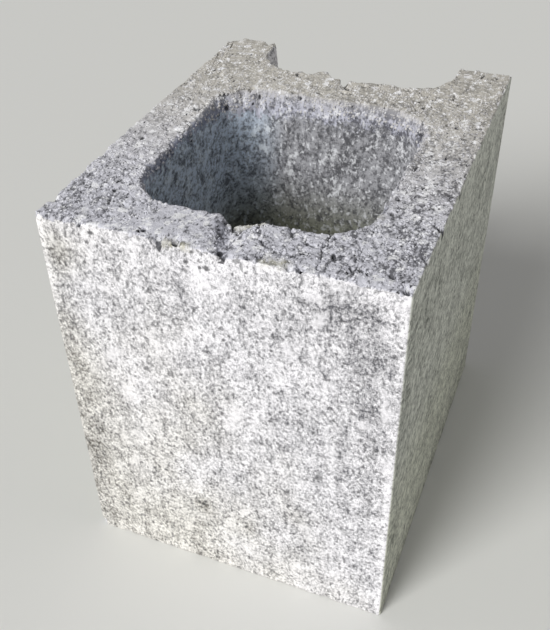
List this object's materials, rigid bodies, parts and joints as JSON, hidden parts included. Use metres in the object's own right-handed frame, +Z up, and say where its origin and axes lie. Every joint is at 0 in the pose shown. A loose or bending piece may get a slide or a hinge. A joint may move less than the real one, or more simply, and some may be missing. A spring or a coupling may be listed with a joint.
{
  "type": "concrete block",
  "caption": "Half-length hollow concrete block, dry-cast in one piece, with a drafted through cell, a recessed open end between ears, and a worn, chipped upper edge.",
  "frame": {"origin": "on the floor, at the middle of the block's outline in plan", "axes": "+X across the two face shells, towards the right-hand shell; +Y towards the open, recessed end; +Z up, from bed face to bed face"},
  "size_m": [0.15, 0.19, 0.19],
  "materials": {
    "concrete": "rough, open-textured dry-cast concrete, pale grey with darker grains"
  },
  "bodies": {
    "root": {"block": "concrete"}
  },
  "joints": []
}
